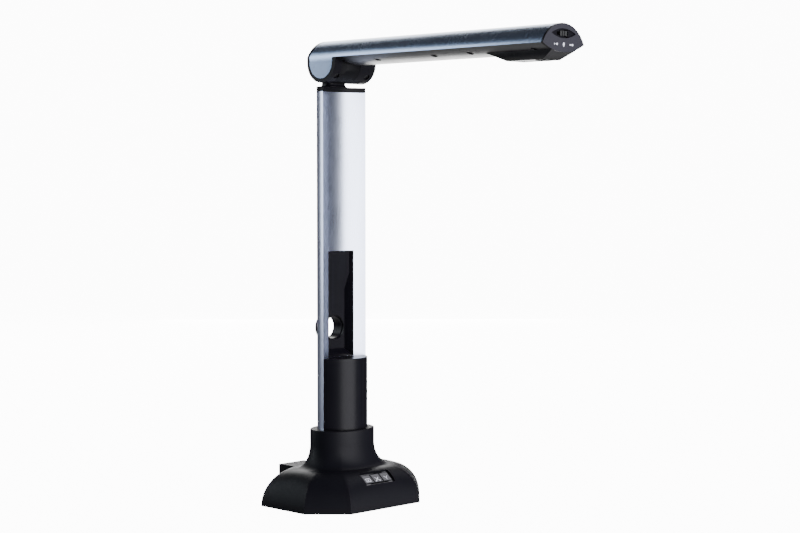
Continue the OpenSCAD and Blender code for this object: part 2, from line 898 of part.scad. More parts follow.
module arm_shell() {
    length = shell_rear - shell_front;
    color(blue_metal)
    at_hinge() {
        difference() {
            arch_space(shell_front, shell_rear, arm_r, arm_half, crease);
            arch_space(shell_front - over, shell_rear + over, arch_in, arm_half, crease - over);
        }
        for (x = [-arm_screw_x, arm_screw_x], s = [-1, 1]) rib(x + s * (rib_gap + rib_t) / 2);
        for (s = [-1, 1]) tongue(s);
    }
}

// Long rib under the arch; a pair of them takes the cover's screws
module rib(x) {
    top = arch_z + sqrt(arch_in * arch_in - x * x);
    y0 = shell_front + 3;
    y1 = -barrel_r - 6;
    translate([x - rib_t / 2, y0, top - rib_h]) cube([rib_t, y1 - y0, rib_h + arm_wall / 3]);
}

// Flat side of the shell, carried down over the hinge as a round tongue
module tongue(s) {
    x0 = s < 0 ? -arm_half : tongue_in;
    intersection() {
        along_x(tongue_r, x0, x0 + arm_wall);
        translate([x0, -tongue_r, -tongue_r]) cube([arm_wall, 2 * tongue_r, tongue_r]);
    }
    translate([x0, -tongue_r, 0]) cube([arm_wall, 2 * tongue_r, crease]);
}

module arm_cover() {
    front = shell_front;
    notch_gap = 3;
    pod_lap = 6;
    color(black)
    at_hinge() difference() {
        cover_lens(0, front, cover_start);
        translate([0, 0, cover_t]) cover_lens(-cover_t / 2, front + 2 * over, cover_start + over);
        translate([ear_x0 - notch_gap, cover_notch, -cover_sag])
            cube([ear_x1 - ear_x0 + notch_gap + fit_gap, barrel_r, 4 * cover_sag]);
        translate([-arm_half - over, cover_start - over * 2, -cover_sag]) cube([over, 4, arm_rise]);
        translate([-pod_root_half + pod_wall, end_face, -2 * cover_sag])
            cube([2 * (pod_root_half - pod_wall), pod_tail - end_face - pod_lap, 4 * cover_sag]);
        at_arm_screws() {
            cylinder(r = screw_r + fit_gap, h = 4 * cover_sag, center = true);
            translate([0, 0, screw_face - over])
                cylinder(r = 2 * screw_r + fit_gap, h = screw_sink + arm_screw_head + over);
        }
    }
}

module arm_screws() {
    length = 9;
    color(steel)
    at_hinge() at_arm_screws() translate([0, 0, screw_face + screw_sink]) {
        cylinder(r = 2 * screw_r, h = arm_screw_head);
        cylinder(r = screw_r, h = length);
    }
}

// Flat cable along the arm, from the camera board to the hinge
module arm_cable() {
    cable_w = 7;
    cable_t = 0.8;
    y0 = lens_y + camera_screw_y;
    y1 = -barrel_r - 8;
    color("#3a3a40")
    at_hinge() translate([-cable_w / 2, y0, 9.2]) cube([cable_w, y1 - y0, cable_t]);
}

// --- camera pieces -----------------------------------------------------------

module lens_pod() {
    color(black)
    at_hinge() difference() {
        pod_body(0);
        pod_body(pod_wall);
        translate([0, end_face - over, cover_z]) rotate([-90, 0, 0])
            cylinder(r = cover_r, h = pod_tail - end_face + 2 * over);
        translate([0, lens_y, pod_bottom - over]) cylinder(r = lens_r + run_gap, h = 4 * over + pod_wall);
        translate([-light_w / 2 - fit_gap, light_y - light_d / 2 - fit_gap, pod_bottom - over])
            cube([light_w + 2 * fit_gap, light_d + 2 * fit_gap, 2 * over + pod_wall]);
    }
}

module lens_ring() {
    proud = 0.4;
    height = 2.6;
    bevel = 1.2;
    color(black_gloss)
    at_hinge() translate([0, lens_y, pod_bottom - proud]) difference() {
        cylinder(r = lens_r, h = height);
        translate([0, 0, -over]) cylinder(r1 = lens_bore + 1.4, r2 = lens_bore, h = over + bevel);
        cylinder(r = lens_bore, h = height + over);
    }
}

module lens_glass() {
    color("#9fb4c8")
    at_hinge() translate([0, lens_y, pod_bottom + 1]) cylinder(r = lens_bore, h = 0.8);
}

module lens_barrel() {
    bore = 2.6;
    z0 = pod_bottom + 2.3;
    color(black)
    at_hinge() translate([0, lens_y, z0]) difference() {
        cylinder(r = lens_tube_r, h = barrel_len);
        translate([0, 0, -over]) cylinder(r = bore, h = barrel_len + 2 * over);
    }
}

module lens_holder() {
    outer = 6;
    z0 = 0.8;
    color(black)
    at_hinge() translate([0, lens_y, z0]) difference() {
        translate([-outer, -outer, 0]) cube([2 * outer, 2 * outer, sensor_z - z0]);
        translate([0, 0, -over]) cylinder(r = lens_tube_r, h = barrel_len);
        translate([-sensor_half, -sensor_half, sensor_z - sensor_t - z0])
            cube([2 * sensor_half, 2 * sensor_half, barrel_len]);
    }
}

module image_sensor() {
    color("#2c2f46")
    at_hinge() translate([-sensor_half, lens_y - sensor_half, sensor_z - sensor_t])
        cube([2 * sensor_half, 2 * sensor_half, sensor_t]);
}

module camera_board() {
    half = 11;
    length = 24;
    ahead = 6.4;
    color(board_green)
    at_hinge() difference() {
        translate([-half, lens_y - ahead, sensor_z]) cube([2 * half, length, camera_board_t]);
        at_camera_screws() cylinder(r = screw_r, h = 4 * sensor_z, center = true);
    }
}

module at_camera_screws() {
    for (x = [-camera_screw_x, camera_screw_x], y = [0, camera_screw_y])
        translate([x, lens_y + y, 0]) children();
}

// Posts from the cover up to the camera board, with their screws
module camera_screws() {
    head_h = 0.9;
    z0 = crease - 1.2;
    color(brass)
    at_hinge() at_camera_screws() {
        translate([0, 0, sensor_z]) cylinder(r = screw_r, h = camera_board_t);
        translate([0, 0, sensor_z + camera_board_t]) cylinder(r = camera_post_r, h = head_h);
        translate([0, 0, z0]) cylinder(r = camera_post_r, h = sensor_z - z0);
    }
}

module led_board() {
    width = 16;
    depth = 10;
    color("#e6e6e0")
    at_hinge() translate([-width / 2, light_y - depth / 2, led_z]) cube([width, depth, 1]);
}

module leds() {
    size = 2.8;
    pitch = 4;
    color("#f0e6a8")
    at_hinge() for (i = [-1:1])
        translate([i * pitch - size / 2, light_y - size / 2, led_z - led_t])
            cube([size, size, led_t]);
}

module led_diffuser() {
    color("#eceef0")
    at_hinge() translate([-light_w / 2, light_y - light_d / 2, pod_bottom + 0.2])
        cube([light_w, light_d, pod_wall]);
}

eye_half = 12.4;
eye_rise = 3.2;
eye_z = crease + 6.9;
slider_w = 9;
slider_h = 3.6;

// Pointed oval of the switch's dish, its axis along y
module eye(y0, y1) {
    r = arc_radius(eye_half, eye_rise);
    translate([0, 0, eye_z]) intersection() {
        translate([0, 0, r - eye_rise]) along_y(r, y0, y1);
        translate([0, 0, eye_rise - r]) along_y(r, y0, y1);
    }
}

module end_cap() {
    dish = 1;
    inner = shell_front - fit_gap;
    lip = 2.6;
    slot_w = slider_w + 2 * switch_travel - 3;
    slot_h = 2.2;
    color("#2a2a2e")
    at_hinge() difference() {
        union() {
            intersection() {
                union() {
                    arch_space(end_face, inner, arm_r, arm_half, crease);
                    cover_lens(0, end_face, inner);
                }
                translate([-arm_half, end_face, -2 * cover_sag])
                    cube([2 * arm_half, 4 * over, 6 * arm_rise]);
            }
            difference() {
                arch_space(inner - 0.2, inner + lip, arch_in - fit_gap, arm_half - 3, crease + 1);
                arch_space(inner - over, inner + lip + over, arch_in - 1.4, arm_half - 5, crease + 2);
            }
        }
        eye(end_face - over, end_face + dish);
        translate([-slot_w / 2, end_face - over, eye_z - slot_h / 2]) cube([slot_w, 4 * lip, slot_h]);
    }
}

module switch_board() {
    color(board_green)
    at_hinge() translate([-10, shell_front + 7.2, eye_z - 4.4]) cube([20, 1.2, 6.6]);
}

module switch_body() {
    color(steel)
    at_hinge() translate([-6.5, shell_front + 3.4, eye_z - 3]) cube([13, 3.8, 6]);
}

// Thumb piece of the light switch: a sled with two ridges, and its stem
module light_slider() {
    ridge = 0.7;
    ridge_x = 1.1;
    ridge_h = 0.5;
    sled_w = slider_w - 2;
    sled_t = 0.75;
    stem_w = 3;
    stem_h = 1.8;
    stem_y = 0.7;
    stem_len = 3.9;
    face = end_face + fit_gap;
    color("#2a2a2e")
    at_hinge() {
        translate([-sled_w / 2, face, eye_z - slider_h / 2]) cube([sled_w, sled_t, slider_h]);
        for (x = [-ridge_x, ridge_x]) translate([x - ridge / 2, face - ridge_h, eye_z - slider_h / 2])
            cube([ridge, ridge_h + stem_y, slider_h]);
        translate([-stem_w / 2, face + stem_y, eye_z - stem_h / 2]) cube([stem_w, stem_len, stem_h]);
    }
}

base_shell();
base_plate();
ballast_plate();
base_feet();
base_screws();
column_screws();
main_board();
board_screws();
rear_port_cover();
usb_shell();
usb_core();
key_bezel();
key_board();
tact_switches();
key_left();
key_middle();
key_right();
column_extrusion();
column_insert();
view_port_ring();
front_sleeve();
column_cable();
hinge_bracket();
cap_screws();
hinge_shaft();
friction_washers();
hinge_nut();
arm_yoke();
yoke_screws();
arm_shell();
arm_cover();
arm_screws();
arm_cable();
lens_pod();
lens_ring();
lens_glass();
lens_barrel();
lens_holder();
image_sensor();
camera_board();
camera_screws();
led_board();
leds();
led_diffuser();
end_cap();
switch_board();
switch_body();
light_slider();
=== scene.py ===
import json
import math

import bpy
from mathutils import Matrix, Vector


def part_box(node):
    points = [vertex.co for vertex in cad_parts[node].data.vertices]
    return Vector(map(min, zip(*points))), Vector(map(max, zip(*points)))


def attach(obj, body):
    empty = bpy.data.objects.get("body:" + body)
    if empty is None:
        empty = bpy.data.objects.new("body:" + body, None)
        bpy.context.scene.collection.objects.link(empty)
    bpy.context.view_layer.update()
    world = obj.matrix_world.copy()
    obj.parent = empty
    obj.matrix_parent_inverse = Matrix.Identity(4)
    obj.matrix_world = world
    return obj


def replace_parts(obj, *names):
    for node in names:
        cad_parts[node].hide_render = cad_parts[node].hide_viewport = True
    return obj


# Looks of a folding document camera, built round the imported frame.
# Blender works in metres; a length written as n * MM is n millimetres.
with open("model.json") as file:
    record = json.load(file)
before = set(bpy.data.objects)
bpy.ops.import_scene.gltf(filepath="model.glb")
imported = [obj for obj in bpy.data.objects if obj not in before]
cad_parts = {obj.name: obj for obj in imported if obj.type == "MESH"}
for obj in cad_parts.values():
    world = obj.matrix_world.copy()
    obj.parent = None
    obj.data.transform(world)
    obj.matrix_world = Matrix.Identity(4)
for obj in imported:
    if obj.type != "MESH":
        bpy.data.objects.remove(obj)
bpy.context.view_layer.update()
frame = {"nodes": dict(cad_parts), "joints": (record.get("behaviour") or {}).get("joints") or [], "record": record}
record = frame["record"]
nodes = frame["nodes"]
joints = {j["name"]: j for j in frame["joints"]}
hinge = Vector(joints["arm_fold"]["pos_m"])
MM = 0.001


def low(node, axis):
    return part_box(node)[0][axis]


def high(node, axis):
    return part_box(node)[1][axis]


# --- materials ---------------------------------------------------------------


class Tree:
    """Adds nodes to a node tree and links them."""

    def __init__(self, tree):
        self.tree = tree

    def add(self, kind, settings=(), inputs=()):
        node = self.tree.nodes.new("ShaderNode" + kind)
        for key, value in dict(settings).items():
            setattr(node, key, value)
        for key, value in dict(inputs).items():
            if isinstance(value, bpy.types.NodeSocket):
                self.tree.links.new(value, node.inputs[key])
            else:
                node.inputs[key].default_value = value
        return node

    def noise(self, where, scale, detail, stretch=(1, 1, 1)):
        mapped = self.add("Mapping", {}, {"Vector": where, "Scale": stretch})
        made = self.add(
            "TexNoise",
            {},
            {"Vector": mapped.outputs[0], "Scale": scale, "Detail": detail},
        )
        return made.outputs[0]

    def to_range(self, value, low_in, high_in, low_out, high_out):
        made = self.add(
            "MapRange",
            {},
            {
                "Value": value,
                "From Min": low_in,
                "From Max": high_in,
                "To Min": low_out,
                "To Max": high_out,
            },
        )
        return made.outputs[0]

    def mix(self, factor, a, b):
        made = self.add("Mix", {"data_type": "RGBA"}, {"Factor": factor})
        for socket, value in ((made.inputs[6], a), (made.inputs[7], b)):
            if isinstance(value, bpy.types.NodeSocket):
                self.tree.links.new(value, socket)
            else:
                socket.default_value = value
        return made.outputs[2]

    def product(self, a, b):
        made = self.add("Math", {"operation": "MULTIPLY"}, {0: a, 1: b})
        return made.outputs[0]


def shade(colour, factor):
    return tuple(min(1.0, c * factor) for c in colour) + (1.0,)


BROAD_SCALE = 55.0
WEAR_SCALE = 420.0
WEAR_WIDTH = 0.25 * MM
GRAIN_DEPTH = 0.03 * MM


def surface(
    name,
    colour,
    rough,
    metal=0.0,
    grain=2600.0,
    stretch=(1, 1, 1),
    bump=0.15,
    rough_span=0.05,
    mottle=0.06,
    edge=1.6,
    specular=0.5,
    transmission=0.0,
):
    """Procedural finish: fine grain in relief and gloss, soft mottling and lighter worn edges."""
    made = bpy.data.materials.new(name)
    made.use_nodes = True
    made.diffuse_color = shade(colour, 1)
    t = Tree(made.node_tree)
    shader = made.node_tree.nodes["Principled BSDF"]
    where = t.add("TexCoord").outputs["Object"]
    fine = t.noise(where, grain, 3.0, stretch)
    broad = t.noise(where, BROAD_SCALE, 3.0)
    wear = t.noise(where, WEAR_SCALE, 4.0)
    flat = t.add("NewGeometry").outputs["Normal"]
    round_off = t.add("Bevel", {"samples": 4}, {"Radius": WEAR_WIDTH}).outputs[0]
    facing = t.add("VectorMath", {"operation": "DOT_PRODUCT"}, {0: flat, 1: round_off})
    # Edges are worn where the rounded-off normal leaves the face's own, in patches
    worn = t.product(
        t.to_range(facing.outputs["Value"], 0.995, 0.8, 0.0, 1.0),
        t.to_range(wear, 0.35, 0.7, 0.25, 1.0),
    )
    tone = t.mix(
        t.to_range(broad, 0.3, 0.7, 0.0, 1.0),
        shade(colour, 1 - mottle),
        shade(colour, 1 + mottle),
    )
    colours = t.mix(worn, tone, shade(colour, edge))
    gloss = t.add(
        "Math",
        {"operation": "ADD"},
        {
            0: t.to_range(fine, 0.25, 0.75, rough - rough_span, rough + rough_span),
            1: t.to_range(broad, 0.3, 0.7, -rough_span / 2, rough_span / 2),
        },
    )
    relief = t.add(
        "Bump",
        {},
        {"Height": fine, "Strength": bump, "Distance": GRAIN_DEPTH},
    )
    links = made.node_tree.links
    links.new(colours, shader.inputs["Base Color"])
    links.new(gloss.outputs[0], shader.inputs["Roughness"])
    links.new(relief.outputs[0], shader.inputs["Normal"])
    shader.inputs["Metallic"].default_value = metal
    shader.inputs["Specular IOR Level"].default_value = specular
    shader.inputs["Transmission Weight"].default_value = transmission
    return made


ALONG_Z = (1, 1, 0.02)
BLACK = (0.0055, 0.005, 0.0078)
FINISH = {
    "black_shell": surface("black_shell", BLACK, 0.47, bump=0.3, grain=2200, specular=0.1),
    "black_trim": surface("black_trim", BLACK, 0.34, bump=0.15, specular=0.11),
    "gloss_black": surface("gloss_black", (0.008, 0.008, 0.01), 0.1, bump=0.02, rough_span=0.03),
    "keys": surface("keys", (0.009, 0.009, 0.012), 0.16, bump=0.03, rough_span=0.04),
    "end_cap": surface("end_cap", (0.026, 0.025, 0.034), 0.4, bump=0.15, specular=0.25),
    "column_metal": surface(
        "column_metal",
        (0.6, 0.65, 0.8),
        0.3,
        metal=1.0,
        grain=2600,
        stretch=ALONG_Z,
        bump=0.05,
        rough_span=0.03,
        mottle=0.02,
        edge=1.2,
    ),
    "arm_metal": surface(
        "arm_metal",
        (0.27, 0.34, 0.47),
        0.26,
        metal=1.0,
        grain=2600,
        bump=0.004,
        rough_span=0.02,
        mottle=0.02,
        edge=1.3,
    ),
    "steel": surface("steel", (0.34, 0.34, 0.36), 0.3, metal=1.0, bump=0.1),
    "brass": surface("brass", (0.6, 0.44, 0.18), 0.3, metal=1.0),
    "board": surface("board", (0.015, 0.1, 0.045), 0.3, grain=900, mottle=0.2),
    "led_board": surface("led_board", (0.8, 0.8, 0.77), 0.35, edge=1.0),
    "rubber": surface("rubber", (0.02, 0.02, 0.021), 0.75, bump=0.4, grain=3200),
    "cable": surface("cable", (0.05, 0.05, 0.06), 0.45),
    "white_core": surface("white_core", (0.78, 0.78, 0.77), 0.4, edge=1.1),
    "lens_black": surface("lens_black", (0.008, 0.008, 0.009), 0.5),
    "glass": surface(
        "glass",
        (0.5, 0.55, 0.72),
        0.05,
        bump=0.0,
        rough_span=0.02,
        transmission=0.85,
        edge=1.0,
    ),
    "leds": surface("leds", (0.85, 0.78, 0.42), 0.25, edge=1.0),
    "diffuser": surface("diffuser", (0.8, 0.82, 0.85), 0.35, bump=0.1, edge=1.0),
}
PRINT = surface("white_print", (0.82, 0.82, 0.9), 0.5, bump=0.05, edge=1.0, mottle=0.03)
BLACK_STEEL = surface("black_steel", (0.05, 0.05, 0.055), 0.32, metal=0.9, bump=0.1, edge=2.4)
COVER = surface("arm_cover_black", (0.0052, 0.005, 0.007), 0.3, bump=0.1, specular=0.5)
KNUCKLE = surface("knuckle_black", (0.005, 0.0048, 0.0065), 0.45, bump=0.3, specular=0.08)


# --- mesh helpers ------------------------------------------------------------

# Edges that turn by more than these angles stay sharp
SMOOTH = math.radians(34)
SHELL_SMOOTH = math.radians(28)
FLARE_SMOOTH = math.radians(50)
PRINT_SMOOTH = math.radians(20)


def piece(name, verts, faces, material, body, angle=SMOOTH):
    """A named piece from points and faces."""
    mesh = bpy.data.meshes.new(name)
    mesh.from_pydata([tuple(v) for v in verts], [], faces)
    mesh.validate()
    return placed(name, mesh, material, body, angle)


def placed(name, mesh, material, body, angle):
    """A mesh as a named piece that rides on a body."""
    made = bpy.data.objects.new(name, mesh)
    bpy.context.scene.collection.objects.link(made)
    mesh.materials.clear()
    mesh.materials.append(material)
    smooth_by_angle(mesh, angle)
    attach(made, body)
    return made


def smooth_by_angle(mesh, angle):
    mesh.polygons.foreach_set("use_smooth", [True] * len(mesh.polygons))
    mesh.set_sharp_from_angle(angle=angle)


def rings_to_faces(count, size, closed=False):
    """Quads between neighbouring rings of the same size."""
    pairs = [(i, i + 1) for i in range(count - 1)]
    if closed:
        pairs.append((count - 1, 0))
    return [
        (a * size + k, a * size + (k + 1) % size, b * size + (k + 1) % size, b * size + k)
        for a, b in pairs
        for k in range(size)
    ]


def box_mesh(corner, size, matrix=None):
    """Eight corners and six faces of a box, moved by matrix."""
    points = [
        Vector((corner[0] + x * size[0], corner[1] + y * size[1], corner[2] + z * size[2]))
        for x in (0, 1)
        for y in (0, 1)
        for z in (0, 1)
    ]
    if matrix is not None:
        points = [matrix @ p for p in points]
    faces = [(0, 1, 3, 2), (4, 6, 7, 5), (0, 4, 5, 1), (2, 3, 7, 6), (0, 2, 6, 4), (1, 5, 7, 3)]
    return points, faces


def carved(mesh, cutters):
    """The mesh with each cutter (points, faces) taken away from it."""
    scene = bpy.context.scene
    body = bpy.data.objects.new("carving", mesh)
    scene.collection.objects.link(body)
    tools = []
    for points, faces in cutters:
        data = bpy.data.meshes.new("cutter")
        data.from_pydata([tuple(p) for p in points], [], faces)
        tool = bpy.data.objects.new("cutter", data)
        scene.collection.objects.link(tool)
        tools.append(tool)
        cut = body.modifiers.new("cut", "BOOLEAN")
        cut.operation = "DIFFERENCE"
        cut.solver = "EXACT"
        cut.object = tool
    bpy.context.view_layer.update()
    seen = body.evaluated_get(bpy.context.evaluated_depsgraph_get())
    done = bpy.data.meshes.new_from_object(seen)
    for o in [body] + tools:
        bpy.data.objects.remove(o)
    return done


# --- carried-over parts ------------------------------------------------------


WELD_WITHIN = 0.002 * MM
BEVEL = 0.2 * MM


def dress(name, material, width):
    """Finish of a carried-over part: its edges are broken by a small bevel."""
    o = nodes[name]
    o.data.materials.clear()
    o.data.materials.append(material)
    o.data.polygons.foreach_set("material_index", [0] * len(o.data.polygons))
    o.data.polygons.foreach_set("use_smooth", [True] * len(o.data.polygons))
    if "custom_normal" in o.data.attributes:
        o.data.attributes.remove(o.data.attributes["custom_normal"])
    weld = o.modifiers.new("weld", "WELD")
    weld.merge_threshold = WELD_WITHIN
    bevel = o.modifiers.new("bevel", "BEVEL")
    bevel.width = width
    bevel.segments = 2
    bevel.limit_method = "ANGLE"
    bevel.angle_limit = SMOOTH
    bevel.harden_normals = True
    bevel.use_clamp_overlap = True


WIDE_BEVEL = {
    "hinge_bracket": 0.5 * MM,
    "arm_yoke": 0.4 * MM,
    "arm_shell": 0.3 * MM,
    "key_bezel": 0.25 * MM,
    "key_left": 0.5 * MM,
    "key_middle": 0.5 * MM,
    "key_right": 0.5 * MM,
    "lens_pod": 0.5 * MM,
    "rear_port_cover": 0.6 * MM,
    "column_insert": 0.25 * MM,
    "base_feet": 0.4 * MM,
}
OWN_FINISH = {
    "arm_cover": COVER,
    "lens_pod": COVER,
    "hinge_bracket": KNUCKLE,
    "light_slider": FINISH["lens_black"],
    "cap_screws": BLACK_STEEL,
}
for part in record["subparts"]:
    node = part["node"]
    finish = OWN_FINISH.get(node, FINISH[part["material_slot"]])
    dress(node, finish, WIDE_BEVEL.get(node, BEVEL))

# The end cap's rim and the floor of its switch dish are coloured black as painted shade, standing for the dark
# band round the cap's face and the shaded dish; only its front face is grey
FRONT_WITHIN = 0.2 * MM
cap = nodes["end_cap"]
cap_front = low("end_cap", 1)
cap.data.materials.append(FINISH["black_trim"])
for face in cap.data.polygons:
    on_front = face.normal.y < -0.9 and abs(face.center.y - cap_front) < FRONT_WITHIN
    face.material_index = 0 if on_front else 1


# --- base shell --------------------------------------------------------------

BASE_CUT = 24.3 * MM
SHOULDER_IN = 20.4 * MM
SHOULDER_Z = 28.4 * MM
FILLET_TOP = 46 * MM
SHELL_WALL = 2.4 * MM
COLLAR_W = 54 * MM
COLLAR_D = 42.4 * MM
COLLAR_Y = -0.5 * MM
COLLAR_EDGE = 0.9 * MM
ROUNDNESS = 0.55
REAR_LEAN = 0.2
REAR_DROP = 4.2 * MM
SIDE_STEPS = 22
ROWS = 26
EDGE_STEPS = 6

shell_low, shell_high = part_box("base_shell")
base_w = shell_high.x - shell_low.x
base_d = shell_high.y - shell_low.y
foot_z = shell_low.z
collar_z = shell_high.z


def octagon(d):
    """The octagon's corners, moved in by d from the foot's outline."""
    w = base_w / 2 - d
    h = base_d / 2 - d
    s = (base_w + base_d) / 2 - BASE_CUT - d * math.sqrt(2)
    return [
        (w, s - w),
        (s - h, h),
        (h - s, h),
        (-w, s - w),
        (-w, w - s),
        (h - s, -h),
        (s - h, -h),
        (w, w - s),
    ]


def ellipse_toward(p, rx, ry):
    """The ellipse's point in the direction of p."""
    a = math.atan2(p[1] / ry, p[0] / rx)
    return (rx * math.cos(a), ry * math.sin(a))


def between(a, b, share):
    return tuple(u + (v - u) * share for u, v in zip(a, b))


def shoulder_ring(d, share):
    """The octagon moved in by d, and rounded towards an ellipse by share."""
    corners = octagon(d)
    rx = base_w / 2 - d
    ry = base_d / 2 - d
    ring = []
    for k in range(8):
        for j in range(SIDE_STEPS):
            p = between(corners[k], corners[(k + 1) % 8], j / SIDE_STEPS)
            ring.append(between(p, ellipse_toward(p, rx, ry), share))
    return ring


def lean_in(p, a):
    """The rear half leans in, the more the higher it stands (a goes from 0 to a quarter turn)."""
    share = REAR_LEAN * (1 - math.cos(a)) if p[1] > 0 else 0
    return (p[0], p[1] * (1 - share))


def drop_at(p):
    """How far the shoulder falls towards the rear."""
    return REAR_DROP * (max(p[1], 0) / (base_d / 2)) ** 2


def base_rings(t):
    """Rings from the foot up to the collar, t inside the outer skin."""
    rx = COLLAR_W / 2 - t
    ry = COLLAR_D / 2 - t
    zs = SHOULDER_Z - t
    top = [lean_in(p, math.pi / 2) for p in shoulder_ring(t + SHOULDER_IN, ROUNDNESS)]
    collar = [(x, y + COLLAR_Y) for x, y in (ellipse_toward(p, rx, ry) for p in top)]
    rings = []
    for i in range(ROWS + 1):
        a = math.pi / 2 * i / ROWS
        ring = shoulder_ring(t + SHOULDER_IN * (1 - math.cos(a)), ROUNDNESS * math.sin(a) ** 4)
        leant = [lean_in(p, a) for p in ring]
        rings.append([q + (foot_z + (zs - drop_at(q) - foot_z) * math.sin(a),) for q in leant])
    for i in range(1, ROWS + 1):
        a = math.pi / 2 * i / ROWS
        ring = []
        for c, p in zip(collar, top):
            z = FILLET_TOP - (FILLET_TOP - zs + drop_at(p)) * math.cos(a)
            ring.append(between(c, p, 1 - math.sin(a)) + (z,))
        rings.append(ring)
    return rings, collar


column_low, column_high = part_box("column_extrusion")
sleeve_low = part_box("front_sleeve")[0]
half = (column_high.x - column_low.x) / 2
LIPS_Y = -3.6 * MM
FIT = 0.12 * MM


def arc_radius(half_width, rise):
    """Radius of an arc from its half width and its rise."""
    return (half_width**2 + rise**2) / (2 * rise)


def stand_point(direction, grow):
    """Where a ray from the axis meets the outline of the column and its sleeve."""
    x, y = direction
    length = math.hypot(x, y)
    x, y = x / length, y / length
    depth = column_high.y - LIPS_Y
    back_r = arc_radius(half, depth)
    rise = LIPS_Y - sleeve_low.y
    sleeve_r = arc_radius(half, rise)
    for centre, radius, behind in (
        (column_high.y - back_r, back_r + grow, True),
        (sleeve_low.y + sleeve_r, sleeve_r + grow, False),
    ):
        b = y * centre
        reach = b + math.sqrt(b * b - centre * centre + radius * radius)
        if (reach * y >= LIPS_Y) == behind:
            return (reach * x, reach * y)
    return (reach * x, reach * y)


def base_skin():
    """The hollow shell: outer skin, rounded collar edge, hole for the stand, inner skin."""
    outer, collar = base_rings(0)
    inner, _ = base_rings(SHELL_WALL)
    rings = list(outer)
    for i in range(EDGE_STEPS + 1):
        a = math.pi / 2 * i / EDGE_STEPS
        back = COLLAR_EDGE * (1 - math.cos(a))
        scale_x = 1 - back / (COLLAR_W / 2)
        scale_y = 1 - back / (COLLAR_D / 2)
        z = collar_z - COLLAR_EDGE * (1 - math.sin(a))
        rings.append([(x * scale_x, (y - COLLAR_Y) * scale_y + COLLAR_Y, z) for x, y in collar])
    hole = [stand_point(p, FIT) for p in collar]
    rings.append([p + (collar_z,) for p in hole])
    rings.append([p + (collar_z - SHELL_WALL,) for p in hole])
    top = [(p[0], p[1]) for p in inner[-1]]
    rings.append([p + (collar_z - SHELL_WALL,) for p in top])
    rings += inner[::-1]
    size = 8 * SIDE_STEPS
    verts = [p for ring in rings for p in ring]
    mesh = bpy.data.meshes.new("base_skin")
    mesh.from_pydata(verts, [], rings_to_faces(len(rings), size, closed=True))
    mesh.validate()
    return mesh


# The key panel's own axes: z out of the panel, x across it
inward = Vector(joints["key_middle_press"]["axis"]).normalized()
panel_z = -inward
panel_x = Vector((1, 0, 0))
panel_y = panel_z.cross(panel_x)


def extent(node, direction):
    """Least and greatest reach of a part along a direction."""
    reach = [v.co.dot(direction) for v in nodes[node].data.vertices]
    return min(reach), max(reach)


face_z = extent("key_bezel", panel_z)[1]
across = extent("key_bezel", panel_x)
along = extent("key_bezel", panel_y)
panel_centre = panel_x * (sum(across) / 2) + panel_y * (sum(along) / 2) + panel_z * face_z
panel = Matrix.Translation(panel_centre) @ Matrix(
    [[panel_x[i], panel_y[i], panel_z[i]] for i in range(3)]
).to_4x4()
panel_w = across[1] - across[0]
panel_d = along[1] - along[0]

PANEL_GAP = 0.12 * MM
PANEL_DEEP = 7 * MM
port_low, port_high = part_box("rear_port_cover")
cutters = [
    box_mesh(
        (-panel_w / 2 - PANEL_GAP, -panel_d / 2 - PANEL_GAP, -PANEL_DEEP),
        (panel_w + 2 * PANEL_GAP, panel_d + 2 * PANEL_GAP, 3 * PANEL_DEEP),
        panel,
    ),
    box_mesh(
        (port_low.x - PANEL_GAP, port_low.y - PANEL_GAP, -PANEL_DEEP),
        (port_high.x - port_low.x + 2 * PANEL_GAP, base_d, PANEL_DEEP + port_high.z + PANEL_GAP),
    ),
]
skin = placed(
    "base_skin",
    carved(base_skin(), cutters),
    FINISH["black_shell"],
    "root",
    SHELL_SMOOTH,
)
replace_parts(skin, "base_shell")


# --- screws ------------------------------------------------------------------


TURN_STEPS = 40


def lathe(profile):
    """Points and faces of a turned solid from (radius, height) pairs, closed at both ends."""
    verts = []
    for r, z in profile:
        for k in range(TURN_STEPS):
            a = 2 * math.pi * k / TURN_STEPS
            verts.append(Vector((r * math.cos(a), r * math.sin(a), z)))
    faces = rings_to_faces(len(profile), TURN_STEPS)
    faces.append(tuple(range(TURN_STEPS))[::-1])
    last = (len(profile) - 1) * TURN_STEPS
    faces.append(tuple(range(last, last + TURN_STEPS)))
    return verts, faces


HEAD_R = 2.4 * MM
SHANK_R = 1.2 * MM
POINT_R = 0.6 * SHANK_R
RIM = 0.35
CROSS_ARM = 0.62 * HEAD_R
CROSS_WIDTH = 0.2 * HEAD_R
CROSS_DEPTH = 0.7


def screw_mesh(head_h, shank):
    """Pan head with a cross recess; the head stands on z = 0, the shank goes down."""
    dome = [
        (HEAD_R * math.cos(a), head_h * (RIM + (1 - RIM) * math.sin(a)))
        for a in (math.radians(8 * i) for i in range(11))
    ]
    points, faces = lathe(
        [(POINT_R, -shank), (SHANK_R, -shank + SHANK_R), (SHANK_R, 0), (HEAD_R, 0)] + dome
    )
    mesh = bpy.data.meshes.new("screw")
    mesh.from_pydata([tuple(p) for p in points], [], faces)
    mesh.validate()
    deep = head_h * CROSS_DEPTH
    cross = [
        box_mesh(
            (-CROSS_ARM, -CROSS_WIDTH / 2, head_h - deep), (2 * CROSS_ARM, CROSS_WIDTH, 2 * deep)
        ),
        box_mesh(
            (-CROSS_WIDTH / 2, -CROSS_ARM, head_h - deep), (CROSS_WIDTH, 2 * CROSS_ARM, 2 * deep)
        ),
    ]
    return carved(mesh, cross)


